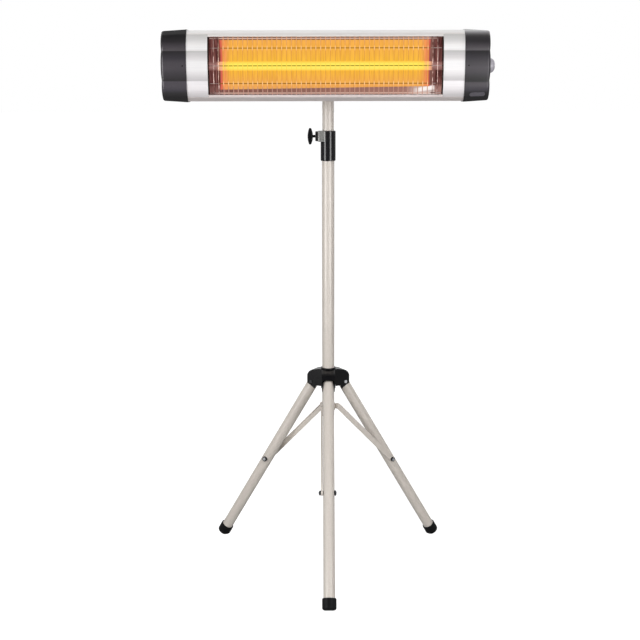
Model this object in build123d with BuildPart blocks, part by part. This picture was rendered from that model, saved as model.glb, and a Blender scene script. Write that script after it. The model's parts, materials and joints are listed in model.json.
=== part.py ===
from build123d import *
import os
from math import asin, atan2, cos, degrees, hypot, radians, sin, sqrt

# Infrared patio heater on a folding tripod stand, in millimetres. +Z is up and -Y is the front, where the
# heater faces. The origin is on the mast's axis at floor level.

os.makedirs("parts", exist_ok=True)

# ---- clearances -------------------------------------------------------------------------------------------
running_gap = 0.05
slide_gap = 0.08
seat_gap = 0.1
free_gap = 0.3

# ---- tubes of the stand -----------------------------------------------------------------------------------
pole_d = 28.0
pole_wall = 0.8
mast_d = 26.0
mast_wall = 1.0
leg_d = 25.4
leg_wall = 1.2

# ---- tripod -----------------------------------------------------------------------------------------------
leg_angles = {"front": 0, "left": -120, "right": 120}
leg_pivot_r = 38.0
leg_pivot_z = 428.4
foot_reach = 305.5
leg_crown = 11.0
leg_crown_round = 5.0
brace_bolt_run = 247.0
pivot_rivet_d = 5.0
rivet_head_d = 7.5
rivet_head_h = 1.6

# ---- hub --------------------------------------------------------------------------------------------------
hub_wall = 2.0
hub_neck_d = 33.6
hub_top_rise = 36.6
hub_shoulder_rise = 33.1
hub_bottom_drop = 7.4
hub_shoulder_r = 33.0
hub_shoulder_drop = 3.5
hub_reach = 48.0
hub_lip_rise = 15.1
hub_cheek_drop = 3.4
hub_heel_r = 27.0
hub_heel_drop = 15.4

# ---- runner and braces ------------------------------------------------------------------------------------
runner_pin_r = 19.5
runner_drop = 57.4
runner_wall = 2.2
runner_height = 14.0
lug_d = 13.4
lug_depth = 7.4
brace_width = 12.0
brace_depth = 4.2
brace_sheet = 1.0
brace_rivet_d = 4.0
bolt_d = 6.0
bolt_head_d = 7.2
bolt_head_h = 1.6
washer_d = 12.0
washer_h = 3.2
nut_h = 4.0
stop_screw_head_d = 6.0
stop_screw_head_h = 2.2

# ---- feet -------------------------------------------------------------------------------------------------
foot_d = 31.0
foot_length = 25.0
foot_round = 5.0
foot_end_gap = 4.0
foot_socket = 17.0

# ---- pole, collar and clamp -------------------------------------------------------------------------------
pole_drop = 77.4
pole_length = 650.0
plug_flange_h = 3.0
plug_spigot = 12.0
collar_d = 33.4
collar_length = 66.5
collar_lid = 4.5
collar_round = 1.5
clamp_drop = 7.8
block_reach = 23.0
block_edge = 5.5
block_side = 17.2
block_height = 23.4
block_round = 4.0
clamp_nut_d = 22.4
clamp_nut_h = 5.6
knob_start = 33.7
knob_thick = 12.0
knob_span = 36.0
knob_width = 14.0
knob_round = 2.5
pad_thick = 2.2
pad_gap = 0.15

# ---- mast -------------------------------------------------------------------------------------------------
mast_start = 90.0
mast_length = 737.0
bush_flange_h = 8.0
bush_spigot = 18.0
mast_cap_h = 3.0

# ---- heater head ------------------------------------------------------------------------------------------
head_x = -6.0
head_drop = 33.0
head_length = 692.0
cap_width = 54.4
head_back = 60.0
head_half_height = 73.3
rail_front = 107.0
rail_inner_front = 117.0
rail_inner_z = 64.8
crease_front = 128.0
crease_z = 30.3
middle_crown = 3.5
outer_crown = 3.0
back_round = 9.0
housing_wall = 1.6
housing_tongue = 10.0
cap_step = 1.9
cap_taper = 3.6
cap_wall = 2.4
cap_end_wall = 5.0
cap_end_round = 7.0
end_middle_crown = 2.0
end_outer_crown = 1.3
end_shoulder = 2.0
window_inset = 99.0
window_half_height = 59.8
bezel_sheet = 1.2
bezel_return = 12.0
trim_return = 22.0
vent_pitch = 42.0
vent_margin = 9.6
vent_length = 26.0
vent_width = 4.0
vent_row_z = 34.0

# ---- lamp, reflector and grille ---------------------------------------------------------------------------
lamp_d = 18.4
lamp_glass = 1.2
lamp_depth = 86.0
lamp_inset = 76.0
coil_d = 11.0
coil_inset = 47.5
lamp_cap_d = 21.0
lamp_cap_length = 22.0
holder_width = 14.0
holder_height = 40.0
lamp_cap_seat = 10.0
pin_d = 3.0
reflector_sheet = 0.8
reflector_edge_depth = 104.0
reflector_lip = 6.0
reflector_back_depth = 66.0
reflector_flat_z = 18.0
reflector_overlap = 9.0
grille_pitch = 10.2
grille_margin = 2.0
wire_d = 1.8
wire_chamfer = 0.5
wire_weld = 0.2
cross_wire_z = (-56.0, -36.3, 0.0, 36.3, 56.0)

# ---- tilt joint -------------------------------------------------------------------------------------------
tilt_depth = 45.0
tilt_ear_sheet = 2.5
tilt_ear_round = 10.0
lug_ear_x = 11.0
lug_half_width = 44.0
lug_half_height = 14.0
lug_screw_x = 37.0
lug_screw_d = 5.0
mast_bracket_half_height = 24.0
mast_bracket_bolt_z = 15.0
tilt_bolt_d = 8.0
tilt_knob_d = 24.0
tilt_knob_h = 15.0
tilt_knob_lobes = 6

# ---- switch and electrical pieces -------------------------------------------------------------------------
switch_depth = 96.0
switch_knob_d = 31.0
switch_knob_h = 11.7
pointer_width = 2.0
pointer_depth = 1.5
switch_shaft_d = 6.0
switch_side = 30.0
switch_length = 28.0
terminal_length = 22.0
terminal_depth = 17.0
terminal_height = 34.0
terminal_z = 18.0
inlet_d = 16.0
inlet_bore_d = 8.0
inlet_reach = 9.0
inlet_z = -24.0
cap_screw_inset = 8.0
cap_screw_d = 3.0
badge_length = 33.0
badge_height = 9.0
badge_proud = 0.5
badge_inset = 28.2
badge_z = -59.0

# ---- worked out from the above ----------------------------------------------------------------------------
hub_top_z = leg_pivot_z + hub_top_rise
hub_shoulder_z = leg_pivot_z + hub_shoulder_rise
hub_bottom_z = leg_pivot_z - hub_bottom_drop
hub_lip_z = leg_pivot_z + hub_lip_rise
hub_cheek_bottom_z = leg_pivot_z - hub_cheek_drop
hub_heel_z = leg_pivot_z - hub_heel_drop
runner_pin_z = leg_pivot_z - runner_drop
pole_bottom_z = leg_pivot_z - pole_drop
pole_top_z = pole_bottom_z + pole_length
collar_top_z = pole_top_z + collar_lid
collar_bottom_z = collar_top_z - collar_length
clamp_z = pole_top_z - clamp_drop
mast_bottom_z = pole_bottom_z + mast_start
mast_top_z = mast_bottom_z + mast_length
head_z = mast_top_z - head_drop
head_front = crease_front + middle_crown + cap_step
window_length = head_length - 2 * window_inset
lamp_length = head_length - 2 * lamp_inset
coil_length = lamp_length - 2 * coil_inset
reflector_length = window_length + 2 * reflector_overlap
grille_count = 1 + int((window_length - 2 * grille_margin) / grille_pitch)
cross_wire_length = window_length - 2 * (seat_gap + running_gap)
vent_count = int((head_length - 2 * (cap_width + vent_margin)) / vent_pitch)
pole_r = pole_d / 2
mast_r = mast_d / 2
leg_r = leg_d / 2
leg_lean = atan2(foot_reach - leg_pivot_r, leg_pivot_z)
leg_run = hypot(foot_reach - leg_pivot_r, leg_pivot_z)
cheek_gap = leg_r + free_gap
cheek_out = cheek_gap + hub_wall
brace_bolt_r = leg_pivot_r + brace_bolt_run * sin(leg_lean)
brace_bolt_z = leg_pivot_z - brace_bolt_run * cos(leg_lean)
brace_span = hypot(brace_bolt_r - runner_pin_r, runner_pin_z - brace_bolt_z)
brace_slope = degrees(atan2(runner_pin_z - brace_bolt_z, runner_pin_r - brace_bolt_r))
brace_start = leg_r + 0.5
brace_web = brace_start + brace_depth - brace_sheet
brace_end = brace_start + brace_depth
cap_length = head_length / 2 - cap_width
bracket_ear_x = lug_ear_x + tilt_ear_sheet + running_gap
cap_end = head_length / 2


def radial_plane(angle, offset=0.0):
    """Plane through the mast's axis and one leg: x outwards, y up, normal to the clockwise side."""
    a = radians(angle)
    shift = (-offset * cos(a), -offset * sin(a), 0)
    return Plane(origin=shift, x_dir=(sin(a), -cos(a), 0), z_dir=(-cos(a), -sin(a), 0))


def leg_plane(angle, offset=0.0):
    """Plane of one leg with its origin at the hub pivot: y runs up the leg, x outwards from it."""
    base = radial_plane(angle, offset)
    outward = base.x_dir * cos(leg_lean) + base.y_dir * sin(leg_lean)
    pivot = base.origin + base.x_dir * leg_pivot_r + base.y_dir * leg_pivot_z
    return Plane(origin=pivot, x_dir=outward, z_dir=base.z_dir)


def head_plane(x):
    """Section plane of the heater head at x: local x is the depth forward of the mast, local y is up."""
    return Plane(origin=(x, 0, head_z), x_dir=(0, -1, 0), z_dir=(-1, 0, 0))


def crowned(start, end, crown):
    """One shallow arc between two points, standing off its chord by crown on the side away from the origin."""
    middle = (start + end) / 2
    along = (end - start).normalized()
    outwards = Vector(along.Y, -along.X)
    if outwards.dot(middle) < 0:
        outwards = outwards * -1
    return ThreePointArc(start, middle + outwards * crown, end)


def mirrored(point):
    """The same point below the head's middle."""
    return Vector(point.X, -point.Y)


def head_outline(grow=0.0):
    """The head's closed section: flat back, flat top and bottom, sloping rails and three crowned facets."""
    back_top = Vector(head_back, head_half_height)
    rail_top = Vector(rail_front, head_half_height)
    facet_top = Vector(rail_inner_front, rail_inner_z)
    crease_top = Vector(crease_front, crease_z)
    with BuildSketch(Plane.XY) as outline:
        with BuildLine():
            Line(back_top, rail_top)
            Line(rail_top, facet_top)
            crowned(facet_top, crease_top, outer_crown)
            crowned(crease_top, mirrored(crease_top), middle_crown)
            crowned(mirrored(crease_top), mirrored(facet_top), outer_crown)
            Line(mirrored(facet_top), mirrored(rail_top))
            Line(mirrored(rail_top), mirrored(back_top))
            Line(mirrored(back_top), back_top)
        make_face()
        fillet(outline.vertices().group_by(Axis.X)[0], radius=back_round)
        if grow:
            offset(amount=grow, kind=Kind.INTERSECTION)
    return outline.sketch


# ======== stand: pole and its pieces =======================================================================
with BuildPart() as lower_tube:
    with BuildSketch(Plane.XY.offset(pole_bottom_z)):
        Circle(pole_r)
        Circle(pole_r - pole_wall, mode=Mode.SUBTRACT)
    extrude(amount=pole_top_z - pole_bottom_z)
    with BuildSketch(Plane.YZ.offset(-pole_r)):
        with Locations((0, clamp_z)):
            Circle(bolt_d / 2 + running_gap)
    extrude(amount=pole_r / 2, both=True, mode=Mode.SUBTRACT)

lower_tube.part.label = "lower_tube"
export_step(lower_tube.part, "parts/lower_tube.step")

with BuildPart() as lower_tube_plug:
    with BuildSketch(Plane.XY.offset(pole_bottom_z)):
        Circle(pole_r)
    extrude(amount=-plug_flange_h)
    with BuildSketch(Plane.XY.offset(pole_bottom_z)):
        Circle(pole_r - pole_wall - running_gap)
        Circle(pole_r - pole_wall - hub_wall, mode=Mode.SUBTRACT)
    extrude(amount=plug_spigot)
    chamfer(lower_tube_plug.faces().sort_by(Axis.Z)[0].edges(), length=1.0)

lower_tube_plug.part.label = "lower_tube_plug"
export_step(lower_tube_plug.part, "parts/lower_tube_plug.step")

stop_screw_z = runner_pin_z - runner_height / 2 - free_gap - stop_screw_head_d / 2
with BuildPart() as runner_stop_screws:
    for turn in (-1, 1):
        with BuildSketch(Plane(origin=(0, turn * pole_r, stop_screw_z), z_dir=(0, turn, 0))):
            Circle(stop_screw_head_d / 2)
        extrude(amount=stop_screw_head_h)

runner_stop_screws.part.label = "runner_stop_screws"
export_step(runner_stop_screws.part, "parts/runner_stop_screws.step")

with BuildPart() as clamp_collar:
    with BuildSketch(Plane.XY.offset(collar_bottom_z)):
        Circle(collar_d / 2)
    extrude(amount=collar_top_z - collar_bottom_z)
    fillet(clamp_collar.edges().filter_by(GeomType.CIRCLE), radius=collar_round)
    with BuildSketch(Plane.XY.offset(collar_bottom_z)):
        Circle(pole_r + running_gap)
    extrude(amount=pole_top_z + running_gap - collar_bottom_z, mode=Mode.SUBTRACT)
    with BuildSketch(Plane.XY.offset(collar_bottom_z)):
        Circle(mast_r + running_gap)
    extrude(amount=collar_top_z - collar_bottom_z, mode=Mode.SUBTRACT)
    with BuildSketch(Plane.YZ):
        with Locations((0, clamp_z)):
            Circle(bolt_d / 2 + running_gap)
    extrude(amount=-collar_d, mode=Mode.SUBTRACT)

clamp_collar.part.label = "clamp_collar"
export_step(clamp_collar.part, "parts/clamp_collar.step")

with BuildPart() as clamp_block:
    with BuildSketch(Plane.XY.offset(clamp_z - block_height / 2)):
        with Locations((-(block_reach + block_edge) / 2, 0)):
            RectangleRounded(block_reach - block_edge, 2 * block_side, radius=block_round)
        Circle(collar_d / 2 + running_gap, mode=Mode.SUBTRACT)
    extrude(amount=block_height)
    fillet(clamp_block.faces().sort_by(Axis.X)[0].edges(), radius=1.0)
    with BuildSketch(Plane.YZ):
        with Locations((0, clamp_z)):
            Circle(bolt_d / 2 + running_gap)
    extrude(amount=-2 * block_reach, mode=Mode.SUBTRACT)

clamp_block.part.label = "clamp_block"
export_step(clamp_block.part, "parts/clamp_block.step")

with BuildPart() as clamp_nut:
    with BuildSketch(Plane(origin=(-block_reach, 0, clamp_z), z_dir=(-1, 0, 0))):
        Circle(clamp_nut_d / 2)
    extrude(amount=clamp_nut_h)
    chamfer(clamp_nut.faces().sort_by(Axis.X)[0].edges(), length=1.2)
    with BuildSketch(Plane(origin=(-block_reach, 0, clamp_z), z_dir=(-1, 0, 0))):
        Circle(bolt_d / 2 + running_gap)
    extrude(amount=clamp_nut_h, mode=Mode.SUBTRACT)

clamp_nut.part.label = "clamp_nut"
export_step(clamp_nut.part, "parts/clamp_nut.step")

pad_start = mast_r + pad_gap
with BuildPart() as clamp_pad:
    with BuildSketch(Plane(origin=(-pad_start, 0, clamp_z), z_dir=(-1, 0, 0))):
        Circle(bolt_d / 2)
    extrude(amount=pad_thick)

clamp_pad.part.label = "clamp_pad"
export_step(clamp_pad.part, "parts/clamp_pad.step")

stem_start = pad_start + pad_thick + running_gap
with BuildPart() as clamp_knob:
    with BuildSketch(Plane(origin=(-stem_start, 0, clamp_z), z_dir=(-1, 0, 0))):
        Circle(bolt_d / 2)
    extrude(amount=knob_start + knob_thick / 2 - stem_start)
    with BuildSketch(Plane.XZ.offset(-knob_width / 2)):
        with BuildLine():
            outer = -(knob_start + knob_thick)
            inner = -knob_start
            tip = -(knob_start + 0.7 * knob_thick)
            root = -(knob_start + 0.35 * knob_thick)
            half = knob_span / 2
            ThreePointArc((tip, clamp_z + half), (outer, clamp_z), (tip, clamp_z - half))
            ThreePointArc((root, clamp_z - half), (inner, clamp_z), (root, clamp_z + half))
            Line((tip, clamp_z - half), (root, clamp_z - half))
            Line((root, clamp_z + half), (tip, clamp_z + half))
        make_face()
    extrude(amount=knob_width)
    fillet(clamp_knob.faces().filter_by(Axis.Y).edges(), radius=knob_round)

clamp_knob.part.label = "clamp_knob"
export_step(clamp_knob.part, "parts/clamp_knob.step")

# ======== hub ==============================================================================================
with BuildPart() as tripod_hub:
    with BuildSketch(Plane.XY.offset(hub_bottom_z)):
        Circle(hub_neck_d / 2)
    extrude(amount=hub_top_z - hub_bottom_z)
    for angle in leg_angles.values():
        with BuildSketch(radial_plane(angle)):
            with BuildLine():
                shoulder = (hub_shoulder_r, hub_shoulder_z - hub_shoulder_drop)
                Line((0, hub_shoulder_z), (hub_neck_d / 2, hub_shoulder_z))
                Line((hub_neck_d / 2, hub_shoulder_z), shoulder)
                bend = (hub_reach - 4.5, hub_lip_z + 8.5)
                ThreePointArc(shoulder, bend, (hub_reach, hub_lip_z))
                Line((hub_reach, hub_lip_z), (hub_reach, hub_cheek_bottom_z))
                Line((hub_reach, hub_cheek_bottom_z), (hub_heel_r, hub_heel_z))
                Line((hub_heel_r, hub_heel_z), (hub_heel_r - 2, hub_bottom_z))
                Line((hub_heel_r - 2, hub_bottom_z), (0, hub_bottom_z))
                Line((0, hub_bottom_z), (0, hub_shoulder_z))
            make_face()
        extrude(amount=cheek_out, both=True)
    for angle in leg_angles.values():
        with BuildSketch(radial_plane(angle)):
            with BuildLine():
                inner_r = hub_neck_d / 2 + hub_wall
                roof = hub_shoulder_z - hub_wall
                under = (hub_shoulder_r - 0.4, roof - hub_shoulder_drop)
                bend = (hub_reach - 4.5 - 0.7 * hub_wall, hub_lip_z + 8.5 - 0.7 * hub_wall)
                Line((inner_r, roof - 0.5), under)
                ThreePointArc(under, bend, (hub_reach - hub_wall, hub_lip_z))
                Line((hub_reach - hub_wall, hub_lip_z), (hub_reach + 20, hub_lip_z))
                Line((hub_reach + 20, hub_lip_z), (hub_reach + 20, hub_heel_z - 20))
                Line((hub_reach + 20, hub_heel_z - 20), (inner_r, hub_heel_z - 20))
                Line((inner_r, hub_heel_z - 20), (inner_r, roof - 0.5))
            make_face()
        extrude(amount=cheek_gap, both=True, mode=Mode.SUBTRACT)
        with BuildSketch(radial_plane(angle)):
            with Locations((leg_pivot_r, leg_pivot_z)):
                Circle(pivot_rivet_d / 2 + running_gap)
        extrude(amount=2 * cheek_out, both=True, mode=Mode.SUBTRACT)
    with BuildSketch(Plane.XY.offset(hub_heel_z)):
        Circle(pole_r + running_gap)
    extrude(amount=hub_top_z, mode=Mode.SUBTRACT)

tripod_hub.part.label = "tripod_hub"
export_step(tripod_hub.part, "parts/tripod_hub.step")

with BuildPart() as leg_pivot_rivets:
    for angle in leg_angles.values():
        for side in (-1, 1):
            with BuildSketch(radial_plane(angle, side * cheek_out)):
                with Locations((leg_pivot_r, leg_pivot_z)):
                    Circle(rivet_head_d / 2)
            extrude(amount=side * rivet_head_h)
        with BuildSketch(radial_plane(angle)):
            with Locations((leg_pivot_r, leg_pivot_z)):
                Circle(pivot_rivet_d / 2)
        extrude(amount=cheek_out, both=True)

leg_pivot_rivets.part.label = "leg_pivot_rivets"
export_step(leg_pivot_rivets.part, "parts/leg_pivot_rivets.step")

# ======== legs, feet and their bolts =======================================================================
tube_end = leg_run - foot_end_gap - foot_length + foot_socket
for side, angle in leg_angles.items():
    axis_plane = leg_plane(angle)
    leg_axis = Axis(axis_plane.origin, axis_plane.y_dir)

    with BuildPart() as leg_tube:
        with BuildSketch(axis_plane):
            with BuildLine():
                bore_r = leg_r - leg_wall
                corner = leg_crown - leg_crown_round
                Line((bore_r, -tube_end), (leg_r, -tube_end))
                Line((leg_r, -tube_end), (leg_r, corner))
                RadiusArc((leg_r, corner), (leg_r - leg_crown_round, leg_crown), -leg_crown_round)
                Line((leg_r - leg_crown_round, leg_crown), (0, leg_crown))
                Line((0, leg_crown), (0, leg_crown - leg_wall))
                Line((0, leg_crown - leg_wall), (leg_r - leg_crown_round, leg_crown - leg_wall))
                RadiusArc((leg_r - leg_crown_round, leg_crown - leg_wall), (bore_r, corner), leg_crown_round - leg_wall)
                Line((bore_r, corner), (bore_r, -tube_end))
            make_face()
        revolve(axis=leg_axis)
        with BuildSketch(axis_plane):
            Circle(pivot_rivet_d / 2 + running_gap)
            with Locations((0, -brace_bolt_run)):
                Circle(bolt_d / 2 + running_gap)
        extrude(amount=leg_d, both=True, mode=Mode.SUBTRACT)

    leg_tube.part.label = f"leg_tube_{side}"
    export_step(leg_tube.part, f"parts/leg_tube_{side}.step")

    with BuildPart() as foot_cap:
        with BuildSketch(axis_plane):
            with BuildLine():
                foot_bottom = -(leg_run - foot_end_gap)
                foot_top = foot_bottom + foot_length
                socket_bottom = foot_top - foot_socket
                foot_r = foot_d / 2
                socket_r = leg_r + running_gap
                Line((0, foot_bottom), (foot_r - foot_round, foot_bottom))
                RadiusArc((foot_r - foot_round, foot_bottom), (foot_r, foot_bottom + foot_round), -foot_round)
                Line((foot_r, foot_bottom + foot_round), (foot_r, foot_top - 1.0))
                Line((foot_r, foot_top - 1.0), (foot_r - 1.0, foot_top))
                Line((foot_r - 1.0, foot_top), (socket_r, foot_top))
                Line((socket_r, foot_top), (socket_r, socket_bottom))
                Line((socket_r, socket_bottom), (0, socket_bottom))
                Line((0, socket_bottom), (0, foot_bottom))
            make_face()
        revolve(axis=leg_axis)
        split(bisect_by=Plane.XY, keep=Keep.TOP)

    foot_cap.part.label = f"foot_cap_{side}"
    export_step(foot_cap.part, f"parts/foot_cap_{side}.step")

    with BuildPart() as leg_washers:
        with BuildSketch(leg_plane(angle)):
            with Locations((0, -brace_bolt_run)):
                Circle(washer_d / 2)
        extrude(amount=-(leg_r + washer_h))
        with BuildSketch(leg_plane(angle)):
            with Locations((0, -brace_bolt_run)):
                Circle(brace_width / 2 - brace_sheet - seat_gap)
        extrude(amount=brace_web - running_gap)
        with BuildSketch(Plane(origin=axis_plane.origin, z_dir=axis_plane.y_dir)):
            Circle(leg_r + running_gap)
        extrude(amount=-2 * brace_bolt_run, mode=Mode.SUBTRACT)
        with BuildSketch(leg_plane(angle)):
            with Locations((0, -brace_bolt_run)):
                Circle(bolt_d / 2 + running_gap)
        extrude(amount=leg_d, both=True, mode=Mode.SUBTRACT)

    leg_washers.part.label = f"leg_washers_{side}"
    export_step(leg_washers.part, f"parts/leg_washers_{side}.step")

    with BuildPart() as leg_bolt:
        with BuildSketch(leg_plane(angle, -(leg_r + washer_h))):
            with Locations((0, -brace_bolt_run)):
                Circle(bolt_head_d / 2)
        extrude(amount=-bolt_head_h)
        fillet(leg_bolt.faces().sort_by(Axis(axis_plane.origin, axis_plane.z_dir))[0].edges(), radius=0.9)
        with BuildSketch(leg_plane(angle, -(leg_r + washer_h))):
            with Locations((0, -brace_bolt_run)):
                Circle(bolt_d / 2)
        extrude(amount=leg_r + washer_h + brace_end + nut_h + 1.5)

        with BuildSketch(leg_plane(angle, brace_end + running_gap)):
            with Locations((0, -brace_bolt_run)):
                RegularPolygon(brace_width / 2 - 0.3, 6)
                Circle(bolt_d / 2 + running_gap, mode=Mode.SUBTRACT)
        extrude(amount=nut_h)

    leg_bolt.part.label = f"leg_bolt_{side}"
    export_step(leg_bolt.part, f"parts/leg_bolt_{side}.step")

    # The brace is a pressed tray: its flanges point at the leg and its web is on the outside.
    with BuildPart() as brace:
        middle = ((brace_bolt_r + runner_pin_r) / 2, (brace_bolt_z + runner_pin_z) / 2)
        with BuildSketch(radial_plane(angle, brace_start)):
            with Locations(middle):
                SlotCenterToCenter(brace_span, brace_width, rotation=brace_slope)
        extrude(amount=brace_depth)
        with BuildSketch(radial_plane(angle, brace_start)):
            with Locations(middle):
                SlotCenterToCenter(brace_span, brace_width - 2 * brace_sheet, rotation=brace_slope)
        extrude(amount=brace_depth - brace_sheet, mode=Mode.SUBTRACT)
        with BuildSketch(radial_plane(angle, brace_start)):
            with Locations((brace_bolt_r, brace_bolt_z)):
                Circle(bolt_d / 2 + running_gap)
            with Locations((runner_pin_r, runner_pin_z)):
                Circle(brace_rivet_d / 2 + running_gap)
        extrude(amount=brace_depth, mode=Mode.SUBTRACT)

    brace.part.label = f"brace_{side}"
    export_step(brace.part, f"parts/brace_{side}.step")

    with BuildPart() as brace_rivet:
        with BuildSketch(radial_plane(angle, brace_start)):
            with Locations((runner_pin_r, runner_pin_z)):
                Circle(brace_rivet_d / 2)
        extrude(amount=brace_depth)
        with BuildSketch(radial_plane(angle, brace_end)):
            with Locations((runner_pin_r, runner_pin_z)):
                Circle(rivet_head_d / 2)
        extrude(amount=rivet_head_h)
        fillet(brace_rivet.faces().sort_by(Axis(axis_plane.origin, axis_plane.z_dir))[-1].edges(), radius=1.0)

    brace_rivet.part.label = f"brace_rivet_{side}"
    export_step(brace_rivet.part, f"parts/brace_rivet_{side}.step")

with BuildPart() as brace_runner:
    with BuildSketch(Plane.XY.offset(runner_pin_z - runner_height / 2)):
        Circle(pole_r + slide_gap + runner_wall)
    extrude(amount=runner_height)
    for angle in leg_angles.values():
        with BuildSketch(radial_plane(angle, brace_start - free_gap)):
            with Locations((runner_pin_r, runner_pin_z)):
                Circle(lug_d / 2)
        extrude(amount=-lug_depth)
    with BuildSketch(Plane.XY.offset(runner_pin_z - runner_height)):
        Circle(pole_r + slide_gap)
    extrude(amount=2 * runner_height, mode=Mode.SUBTRACT)

brace_runner.part.label = "brace_runner"
export_step(brace_runner.part, "parts/brace_runner.step")

# ======== mast =============================================================================================
with BuildPart() as mast_bush:
    with BuildSketch(Plane.XY.offset(mast_bottom_z)):
        Circle(pole_r - pole_wall - running_gap)
    extrude(amount=-bush_flange_h)
    with BuildSketch(Plane.XY.offset(mast_bottom_z)):
        Circle(mast_r - mast_wall - running_gap)
    extrude(amount=bush_spigot)
    with BuildSketch(Plane.XY.offset(mast_bottom_z - bush_flange_h)):
        Circle(mast_r - mast_wall - hub_wall)
    extrude(amount=bush_flange_h + bush_spigot, mode=Mode.SUBTRACT)

mast_bush.part.label = "mast_bush"
export_step(mast_bush.part, "parts/mast_bush.step")

bracket_bolt_heights = (head_z - mast_bracket_bolt_z, head_z + mast_bracket_bolt_z)
with BuildPart() as upper_tube:
    with BuildSketch(Plane.XY.offset(mast_bottom_z + running_gap)):
        Circle(mast_r)
        Circle(mast_r - mast_wall, mode=Mode.SUBTRACT)
    extrude(amount=mast_top_z - mast_bottom_z - running_gap)
    with BuildSketch(Plane.XZ):
        for height in bracket_bolt_heights:
            with Locations((0, height)):
                Circle(bolt_d / 2 + running_gap)
    extrude(amount=mast_d, both=True, mode=Mode.SUBTRACT)

upper_tube.part.label = "upper_tube"
export_step(upper_tube.part, "parts/upper_tube.step")

with BuildPart() as mast_cap:
    with BuildSketch(Plane.XY.offset(mast_top_z)):
        Circle(mast_r)
    extrude(amount=mast_cap_h)
    fillet(mast_cap.faces().sort_by(Axis.Z)[-1].edges(), radius=1.5)
    with BuildSketch(Plane.XY.offset(mast_top_z)):
        Circle(mast_r - mast_wall - running_gap)
    extrude(amount=-plug_spigot / 2)

mast_cap.part.label = "mast_cap"
export_step(mast_cap.part, "parts/mast_cap.step")

bracket_back = mast_r + seat_gap
with BuildPart() as mast_bracket:
    with BuildSketch(Plane.XZ.offset(bracket_back)):
        with Locations((0, head_z)):
            Rectangle(2 * (bracket_ear_x + tilt_ear_sheet), 2 * mast_bracket_half_height)
    extrude(amount=tilt_ear_sheet)
    for ear in (-1, 1):
        with BuildSketch(head_plane(ear * bracket_ear_x)):
            with BuildLine():
                start = bracket_back
                Line((start, -mast_bracket_half_height), (start, mast_bracket_half_height))
                Line((start, mast_bracket_half_height), (start + 6, mast_bracket_half_height))
                Line((start + 6, mast_bracket_half_height), (tilt_depth, tilt_ear_round))
                ThreePointArc(
                    (tilt_depth, tilt_ear_round), (tilt_depth + tilt_ear_round, 0), (tilt_depth, -tilt_ear_round)
                )
                Line((tilt_depth, -tilt_ear_round), (start + 6, -mast_bracket_half_height))
                Line((start + 6, -mast_bracket_half_height), (start, -mast_bracket_half_height))
            make_face()
            with Locations((tilt_depth, 0)):
                Circle(tilt_bolt_d / 2 + running_gap, mode=Mode.SUBTRACT)
        extrude(amount=-ear * tilt_ear_sheet)
    with BuildSketch(Plane.XZ):
        for height in bracket_bolt_heights:
            with Locations((0, height)):
                Circle(bolt_d / 2 + running_gap)
    extrude(amount=mast_d, mode=Mode.SUBTRACT)

mast_bracket.part.label = "mast_bracket"
export_step(mast_bracket.part, "parts/mast_bracket.step")

with BuildPart() as mast_bracket_bolts:
    for height in bracket_bolt_heights:
        front = bracket_back + tilt_ear_sheet
        with BuildSketch(Plane.XZ.offset(front)):
            with Locations((0, height)):
                RegularPolygon(5.7, 6)
        extrude(amount=nut_h)
        with BuildSketch(Plane.XZ.offset(front)):
            with Locations((0, height)):
                Circle(bolt_d / 2)
        extrude(amount=-(front + mast_r + nut_h + 2.5))
        with BuildSketch(Plane.XZ.offset(-(mast_r + seat_gap))):
            with Locations((0, height)):
                RegularPolygon(5.7, 6)
        extrude(amount=-nut_h)

mast_bracket_bolts.part.label = "mast_bracket_bolts"
export_step(mast_bracket_bolts.part, "parts/mast_bracket_bolts.step")

ear_outside = bracket_ear_x + tilt_ear_sheet
with BuildPart() as tilt_bolt:
    with BuildSketch(head_plane(-ear_outside)):
        with Locations((tilt_depth, 0)):
            RegularPolygon(7.4, 6)
    extrude(amount=5.0)
    with BuildSketch(head_plane(-ear_outside)):
        with Locations((tilt_depth, 0)):
            Circle(tilt_bolt_d / 2)
    extrude(amount=-(2 * ear_outside + tilt_knob_h - 3))

tilt_bolt.part.label = "tilt_bolt"
export_step(tilt_bolt.part, "parts/tilt_bolt.step")

with BuildPart() as tilt_knob:
    with BuildSketch(head_plane(ear_outside + seat_gap)):
        with Locations((tilt_depth, 0)):
            Circle(tilt_knob_d / 2)
            with PolarLocations(tilt_knob_d / 2 + 2.6, tilt_knob_lobes):
                Circle(4.2, mode=Mode.SUBTRACT)
    extrude(amount=-tilt_knob_h)
    fillet(tilt_knob.faces().sort_by(Axis.X)[-1].edges(), radius=1.0)
    with BuildSketch(head_plane(ear_outside + seat_gap)):
        with Locations((tilt_depth, 0)):
            Circle(tilt_bolt_d / 2 + running_gap)
    extrude(amount=-(tilt_knob_h - 2), mode=Mode.SUBTRACT)

tilt_knob.part.label = "tilt_knob"
export_step(tilt_knob.part, "parts/tilt_knob.step")

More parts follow.
